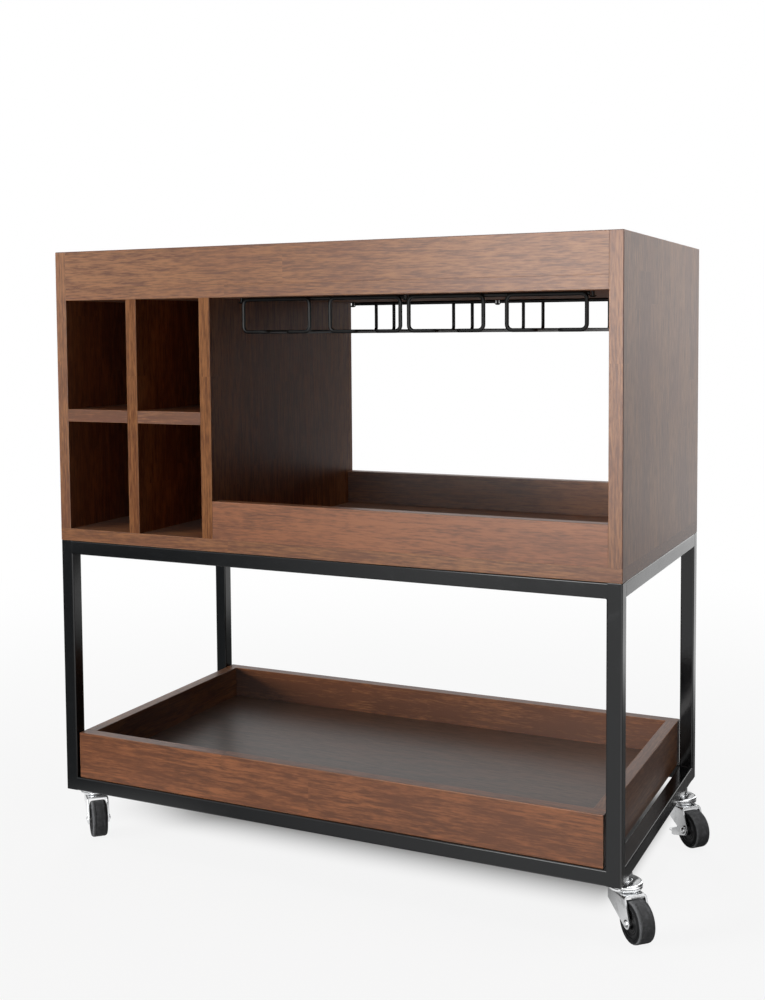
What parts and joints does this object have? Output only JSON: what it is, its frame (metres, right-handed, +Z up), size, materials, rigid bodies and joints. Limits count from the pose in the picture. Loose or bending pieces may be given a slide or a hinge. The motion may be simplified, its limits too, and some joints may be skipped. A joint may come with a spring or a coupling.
{
  "type": "wine trolley",
  "caption": "Rolling serving trolley: a stained wooden case with cubbies, an open bay with hanging wire racks and a rimmed top, on a black tube frame with a low tray and casters.",
  "frame": {"origin": "on the floor, under the middle of the case", "axes": "+X to the right seen from the front, -Y to the front, +Z up"},
  "size_m": [0.8736, 0.412, 0.8307],
  "materials": {
    "stained_wood": "satin stain",
    "dowel_wood": "plain",
    "black_frame": "satin black",
    "black_wire": "satin black",
    "bright_plating": "bright",
    "screw_steel": "zinc plated",
    "core_plastic": "moulded",
    "tyre_rubber": "satin"
  },
  "bodies": {
    "trolley": {"back_left_post": "black_frame", "back_lip": "stained_wood", "back_right_post": "black_frame", "back_rim": "stained_wood", "bottom_back_rail": "black_frame", "bottom_board": "stained_wood", "bottom_front_rail": "black_frame", "bottom_left_rail": "black_frame", "bottom_right_rail": "black_frame", "case_dowels": "dowel_wood", "case_screws": "screw_steel", "caster_lock_nuts": "bright_plating", "caster_race_balls": "screw_steel", "caster_stems": "bright_plating", "caster_weld_nuts": "screw_steel", "cubby_back_panel": "stained_wood", "cubby_divider": "stained_wood", "cubby_partition": "stained_wood", "cubby_shelf": "stained_wood", "front_left_post": "black_frame", "front_lip": "stained_wood", "front_right_post": "black_frame", "front_rim": "stained_wood", "left_side_panel": "stained_wood", "rack_cross_bars": "black_wire", "rack_screws": "black_wire", "rack_wire_1": "black_wire", "rack_wire_2": "black_wire", "rack_wire_3": "black_wire", "rack_wire_4": "black_wire", "right_side_panel": "stained_wood", "top_back_rail": "black_frame", "top_front_rail": "black_frame", "top_left_rail": "black_frame", "top_panel": "stained_wood", "top_right_rail": "black_frame", "tray_back_board": "stained_wood", "tray_floor": "stained_wood", "tray_front_board": "stained_wood", "tray_left_board": "stained_wood", "tray_right_board": "stained_wood", "tray_screws": "screw_steel"},
    "front_left_swivel": {"front_left_fork": "bright_plating", "front_left_axle": "bright_plating"},
    "front_left_wheel": {"front_left_wheel_core": "core_plastic", "front_left_tyre": "tyre_rubber"},
    "front_right_swivel": {"front_right_fork": "bright_plating", "front_right_axle": "bright_plating"},
    "front_right_wheel": {"front_right_wheel_core": "core_plastic", "front_right_tyre": "tyre_rubber"},
    "back_left_swivel": {"back_left_fork": "bright_plating", "back_left_axle": "bright_plating"},
    "back_left_wheel": {"back_left_wheel_core": "core_plastic", "back_left_tyre": "tyre_rubber"},
    "back_left_brake": {"back_left_brake_lever": "bright_plating"},
    "back_right_swivel": {"back_right_fork": "bright_plating", "back_right_axle": "bright_plating"},
    "back_right_wheel": {"back_right_wheel_core": "core_plastic", "back_right_tyre": "tyre_rubber"},
    "back_right_brake": {"back_right_brake_lever": "bright_plating"}
  },
  "joints": [
    {"name": "front_left_swivel_turn", "type": "hinge", "parent": "trolley", "child": "front_left_swivel", "pos_m": [-0.3905, -0.154, 0.07375], "axis": [0, 0, 1], "continuous": true},
    {"name": "front_left_wheel_roll", "type": "hinge", "parent": "front_left_swivel", "child": "front_left_wheel", "pos_m": [-0.36966, -0.17558, 0.025], "axis": [0.7193, 0.6947, 0], "continuous": true},
    {"name": "front_right_swivel_turn", "type": "hinge", "parent": "trolley", "child": "front_right_swivel", "pos_m": [0.3905, -0.154, 0.07375], "axis": [0, 0, 1], "continuous": true},
    {"name": "front_right_wheel_roll", "type": "hinge", "parent": "front_right_swivel", "child": "front_right_wheel", "pos_m": [0.41134, -0.17558, 0.025], "axis": [0.7193, 0.6947, 0], "continuous": true},
    {"name": "back_left_swivel_turn", "type": "hinge", "parent": "trolley", "child": "back_left_swivel", "pos_m": [-0.3905, 0.154, 0.07375], "axis": [0, 0, 1], "continuous": true},
    {"name": "back_left_wheel_roll", "type": "hinge", "parent": "back_left_swivel", "child": "back_left_wheel", "pos_m": [-0.41244, 0.13354, 0.025], "axis": [0.682, -0.7314, 0], "continuous": true},
    {"name": "back_left_brake_lift", "type": "hinge", "parent": "back_left_swivel", "child": "back_left_brake", "pos_m": [-0.41244, 0.13354, 0.025], "axis": [0.682, -0.7314, 0], "range_deg": [0, 20]},
    {"name": "back_right_swivel_turn", "type": "hinge", "parent": "trolley", "child": "back_right_swivel", "pos_m": [0.3905, 0.154, 0.07375], "axis": [0, 0, 1], "continuous": true},
    {"name": "back_right_wheel_roll", "type": "hinge", "parent": "back_right_swivel", "child": "back_right_wheel", "pos_m": [0.41244, 0.13354, 0.025], "axis": [0.682, 0.7314, 0], "continuous": true},
    {"name": "back_right_brake_lift", "type": "hinge", "parent": "back_right_swivel", "child": "back_right_brake", "pos_m": [0.41244, 0.13354, 0.025], "axis": [0.682, 0.7314, 0], "range_deg": [0, 20]}
  ]
}
